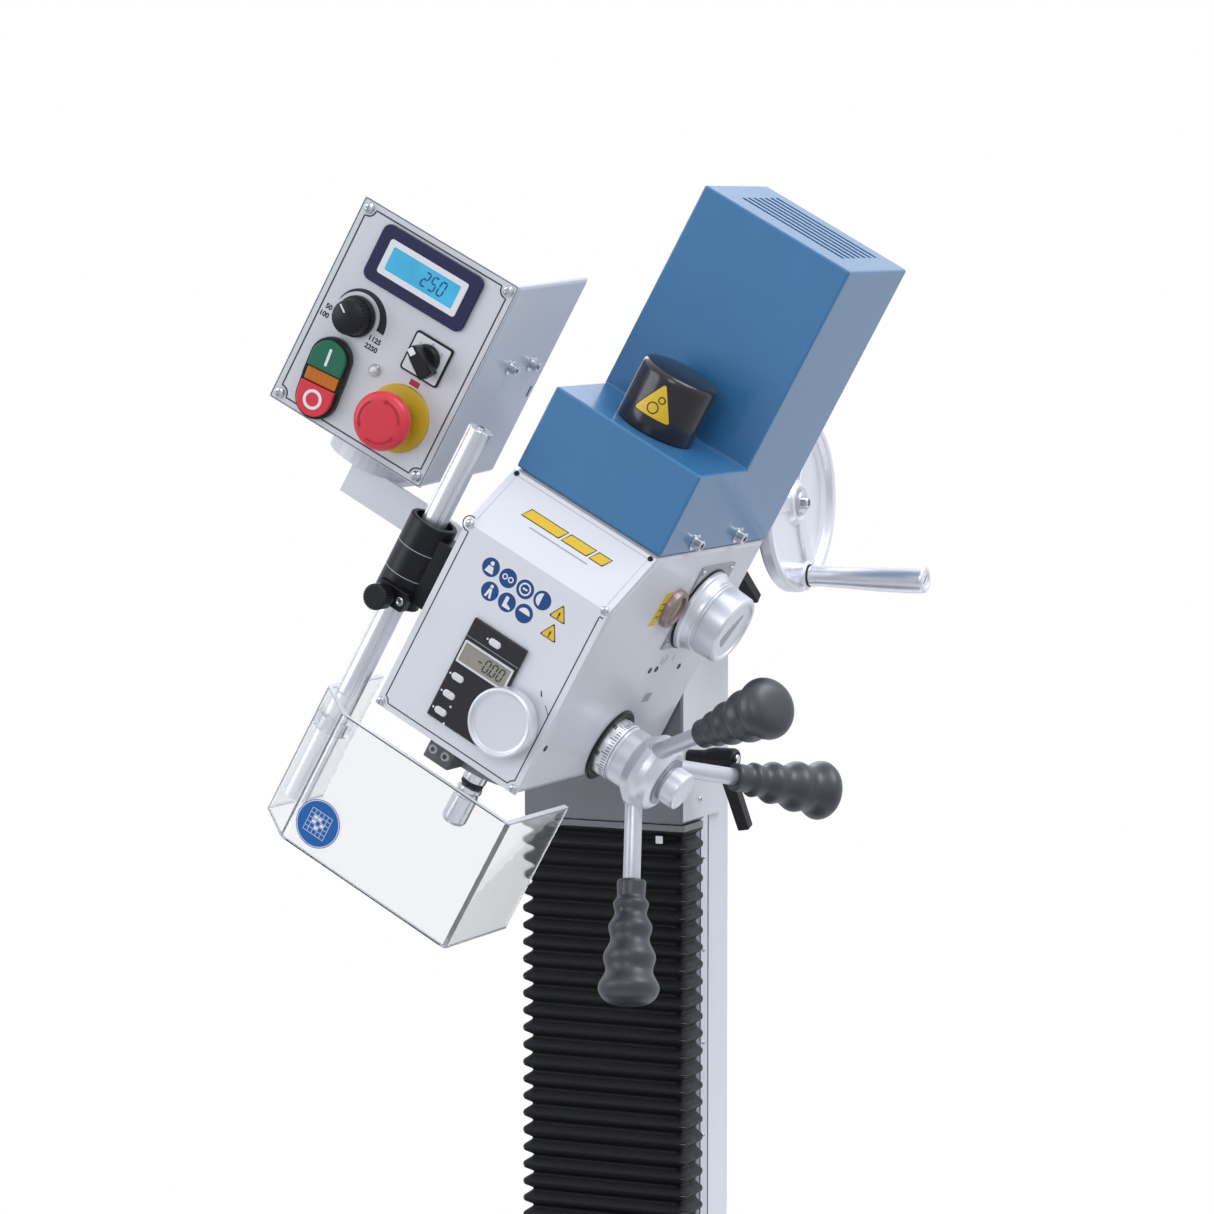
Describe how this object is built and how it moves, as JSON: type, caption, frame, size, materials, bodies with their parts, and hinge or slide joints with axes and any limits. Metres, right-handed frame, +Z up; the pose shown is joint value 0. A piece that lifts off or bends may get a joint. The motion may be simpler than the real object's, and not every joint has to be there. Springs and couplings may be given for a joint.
{
  "type": "benchtop milling machine",
  "caption": "Bench mill with a tilting geared head on a dovetail column, cross table, capstan quill feed, swivelling control box and clear chip guard.",
  "frame": {"origin": "middle of the footprint of the whole machine, on the bench", "axes": "+X to the operator's right, +Y to the back, +Z up"},
  "size_m": [0.586, 0.536, 0.9084],
  "materials": {
    "white_paint": "semi-gloss white enamel",
    "plate_paint": "satin white sheet",
    "panel_foil": "silver-grey foil",
    "blue_paint": "semi-gloss blue enamel",
    "grey_paint": "grey enamel",
    "cast_iron": "ground",
    "steel": "bright turned",
    "aluminium": "satin cast and turned",
    "rubber": "matt",
    "grip_plastic": "satin",
    "black_plastic": "satin",
    "navy_plastic": "satin",
    "clear_plastic": "clear polycarbonate",
    "red_plastic": "satin",
    "green_plastic": "satin"
  },
  "bodies": {
    "base": {"base": "white_paint", "column": "white_paint", "column_cap": "white_paint", "bellows": "rubber"},
    "z_screw": {"z_leadscrew": "steel"},
    "z_wheel": {"z_bevel_shaft": "steel", "z_handwheel": "aluminium"},
    "z_crank": {"z_crank_handle": "aluminium"},
    "saddle": {"cross_saddle": "cast_iron"},
    "y_wheel": {"y_leadscrew": "steel", "y_handwheel": "aluminium"},
    "y_crank": {"y_crank_handle": "aluminium"},
    "table": {"table": "cast_iron"},
    "x_wheel": {"x_leadscrew": "steel", "x_handwheel": "aluminium"},
    "x_crank": {"x_crank_handle": "aluminium"},
    "slide": {"head_slide": "cast_iron", "tilt_bolt": "steel"},
    "lower_lever": {"lower_clamp_lever": "black_plastic"},
    "upper_lever": {"upper_clamp_lever": "black_plastic"},
    "head": {"head_housing": "white_paint", "front_plate": "plate_paint", "drive_cover": "blue_paint", "spindle_cap": "black_plastic", "motor": "grey_paint", "oil_sight": "aluminium", "dro_display": "black_plastic", "guard_holder": "black_plastic", "box_bracket": "white_paint"},
    "motor_rotor": {"motor_pinion": "steel"},
    "gear_shaft": {"intermediate_gear": "steel"},
    "drive_sleeve": {"spindle_gear": "steel"},
    "quill": {"quill": "steel", "quill_collar": "grey_paint", "spindle_bearing": "steel"},
    "spindle": {"spindle": "steel", "drill_arbor": "steel"},
    "feed": {"feed_pinion": "steel", "feed_dial": "aluminium", "feed_hub": "aluminium", "feed_rod_1": "steel", "feed_rod_2": "steel", "feed_rod_3": "steel", "feed_grip_1": "grip_plastic", "feed_grip_2": "grip_plastic", "feed_grip_3": "grip_plastic"},
    "range_selector": {"range_knob": "aluminium"},
    "fine_feed": {"fine_feed_knob": "aluminium"},
    "guard_post": {"guard_post": "aluminium"},
    "guard_screen": {"guard_screen": "clear_plastic"},
    "guard_knob": {"guard_knob": "black_plastic"},
    "control_box": {"control_box": "white_paint", "control_panel": "panel_foil", "display_bezel": "navy_plastic"},
    "speed_knob": {"speed_knob": "black_plastic"},
    "cam_switch": {"cam_switch_knob": "black_plastic"},
    "start_button": {"start_button": "green_plastic"},
    "stop_button": {"stop_button": "red_plastic"},
    "estop": {"estop_button": "red_plastic"}
  },
  "joints": [
    {"name": "z_wheel_spin", "type": "hinge", "parent": "base", "child": "z_wheel", "pos_m": [0, 0.165, 0.684], "axis": [1, 0, 0], "range_deg": [-13505, 5]},
    {"name": "z_screw_spin", "type": "hinge", "parent": "base", "child": "z_screw", "pos_m": [0, 0.165, 0.1], "axis": [0, 0, 1], "range_deg": [-13505, 5]},
    {"name": "z_travel", "type": "slide", "parent": "base", "child": "slide", "axis": [0, 0, 1], "range_m": [-0.15, 0], "deforming": ["bellows"]},
    {"name": "z_crank_spin", "type": "hinge", "parent": "z_wheel", "child": "z_crank", "pos_m": [0.131, 0.165, 0.632], "axis": [1, 0, 0], "continuous": true},
    {"name": "y_wheel_spin", "type": "hinge", "parent": "base", "child": "y_wheel", "pos_m": [0, -0.244, 0.044], "axis": [0, -1, 0], "range_deg": [-7205, 7205]},
    {"name": "y_travel", "type": "slide", "parent": "base", "child": "saddle", "axis": [0, 1, 0], "range_m": [-0.05, 0.05]},
    {"name": "y_crank_spin", "type": "hinge", "parent": "y_wheel", "child": "y_crank", "pos_m": [0, -0.255, 0.014], "axis": [0, -1, 0], "continuous": true},
    {"name": "x_wheel_spin", "type": "hinge", "parent": "table", "child": "x_wheel", "pos_m": [0.271, -0.05, 0.086], "axis": [1, 0, 0], "range_deg": [-15845, 15845]},
    {"name": "x_travel", "type": "slide", "parent": "saddle", "child": "table", "axis": [1, 0, 0], "range_m": [-0.11, 0.11]},
    {"name": "x_crank_spin", "type": "hinge", "parent": "x_wheel", "child": "x_crank", "pos_m": [0.282, -0.05, 0.056], "axis": [1, 0, 0], "continuous": true},
    {"name": "lower_lever_turn", "type": "hinge", "parent": "slide", "child": "lower_lever", "pos_m": [0.062, 0.104, 0.5055], "axis": [1, 0, 0], "range_deg": [-60, 20]},
    {"name": "upper_lever_turn", "type": "hinge", "parent": "slide", "child": "upper_lever", "pos_m": [0.062, 0.104, 0.6565], "axis": [1, 0, 0], "range_deg": [-47, 5]},
    {"name": "head_tilt", "type": "hinge", "parent": "slide", "child": "head", "pos_m": [0, 0.094, 0.558], "axis": [0, 1, 0], "range_deg": [-42, 15]},
    {"name": "spindle_spin", "type": "hinge", "parent": "quill", "child": "spindle", "pos_m": [0.00533, -0.05, 0.56762], "axis": [-0.4848, 0, -0.8746], "continuous": true},
    {"name": "drive_sleeve_spin", "type": "hinge", "parent": "head", "child": "drive_sleeve", "pos_m": [0.0543, -0.05, 0.65596], "axis": [-0.4848, 0, -0.8746], "continuous": true},
    {"name": "gear_shaft_spin", "type": "hinge", "parent": "head", "child": "gear_shaft", "pos_m": [0.05866, -0.005, 0.66383], "axis": [-0.4848, 0, -0.8746], "continuous": true},
    {"name": "motor_spin", "type": "hinge", "parent": "head", "child": "motor_rotor", "pos_m": [0.06206, 0.04, 0.66995], "axis": [-0.4848, 0, -0.8746], "continuous": true},
    {"name": "quill_feed", "type": "hinge", "parent": "head", "child": "feed", "pos_m": [0.05054, -0.006, 0.52541], "axis": [0.8746, 0, -0.4848], "range_deg": [0, 204.63]},
    {"name": "quill_travel", "type": "slide", "parent": "head", "child": "quill", "axis": [-0.4848, 0, -0.8746], "range_m": [-0.0002, 0.0502]},
    {"name": "range_select", "type": "hinge", "parent": "head", "child": "range_selector", "pos_m": [0.10416, 0.026, 0.61803], "axis": [0.8746, 0, -0.4848], "range_deg": [-45, 45]},
    {"name": "fine_feed_turn", "type": "hinge", "parent": "head", "child": "fine_feed", "pos_m": [0.03429, -0.13, 0.55386], "axis": [0, -1, 0], "continuous": true},
    {"name": "guard_swing", "type": "hinge", "parent": "head", "child": "guard_post", "pos_m": [-0.09015, -0.112, 0.57481], "axis": [-0.4848, 0, -0.8746], "range_deg": [0, 50]},
    {"name": "guard_height", "type": "slide", "parent": "guard_post", "child": "guard_screen", "axis": [0.4848, 0, 0.8746], "range_m": [-0.04, 0.008]},
    {"name": "guard_knob_turn", "type": "hinge", "parent": "head", "child": "guard_knob", "pos_m": [-0.05718, -0.13, 0.63429], "axis": [0, -1, 0], "range_deg": [-180, 180]},
    {"name": "box_swivel", "type": "hinge", "parent": "head", "child": "control_box", "pos_m": [-0.10876, -0.035, 0.7372], "axis": [0.4848, 0, 0.8746], "range_deg": [-45, 45]},
    {"name": "speed_turn", "type": "hinge", "parent": "control_box", "child": "speed_knob", "pos_m": [-0.09322, -0.10203, 0.82028], "axis": [0.061, -0.9976, -0.0338], "range_deg": [-135, 135]},
    {"name": "cam_switch_turn", "type": "hinge", "parent": "control_box", "child": "cam_switch", "pos_m": [-0.04182, -0.09792, 0.79202], "axis": [0.061, -0.9976, -0.0338], "range_deg": [-60, 60]},
    {"name": "start_press", "type": "slide", "parent": "control_box", "child": "start_button", "axis": [-0.061, 0.9976, 0.0338], "range_m": [0, 0.003], "stiffness_N_per_m": 900, "springref_m": -0.002},
    {"name": "stop_press", "type": "slide", "parent": "control_box", "child": "stop_button", "axis": [-0.061, 0.9976, 0.0338], "range_m": [0, 0.003], "stiffness_N_per_m": 900, "springref_m": -0.002},
    {"name": "estop_press", "type": "slide", "parent": "control_box", "child": "estop", "axis": [-0.061, 0.9976, 0.0338], "range_m": [0, 0.006], "stiffness_N_per_m": 1200, "springref_m": -0.003}
  ],
  "couplings": [
    {"joint": "z_wheel_spin", "follows": "z_travel", "rad_per_m": 1570.8},
    {"joint": "z_screw_spin", "follows": "z_travel", "rad_per_m": 1570.8},
    {"joint": "y_wheel_spin", "follows": "y_travel", "rad_per_m": 2513.3},
    {"joint": "x_wheel_spin", "follows": "x_travel", "rad_per_m": 2513.3},
    {"joint": "drive_sleeve_spin", "follows": "spindle_spin", "ratio": 1},
    {"joint": "gear_shaft_spin", "follows": "spindle_spin", "ratio": -2},
    {"joint": "motor_spin", "follows": "spindle_spin", "ratio": 3},
    {"joint": "quill_travel", "follows": "quill_feed", "m_per_rad": 0.014}
  ]
}
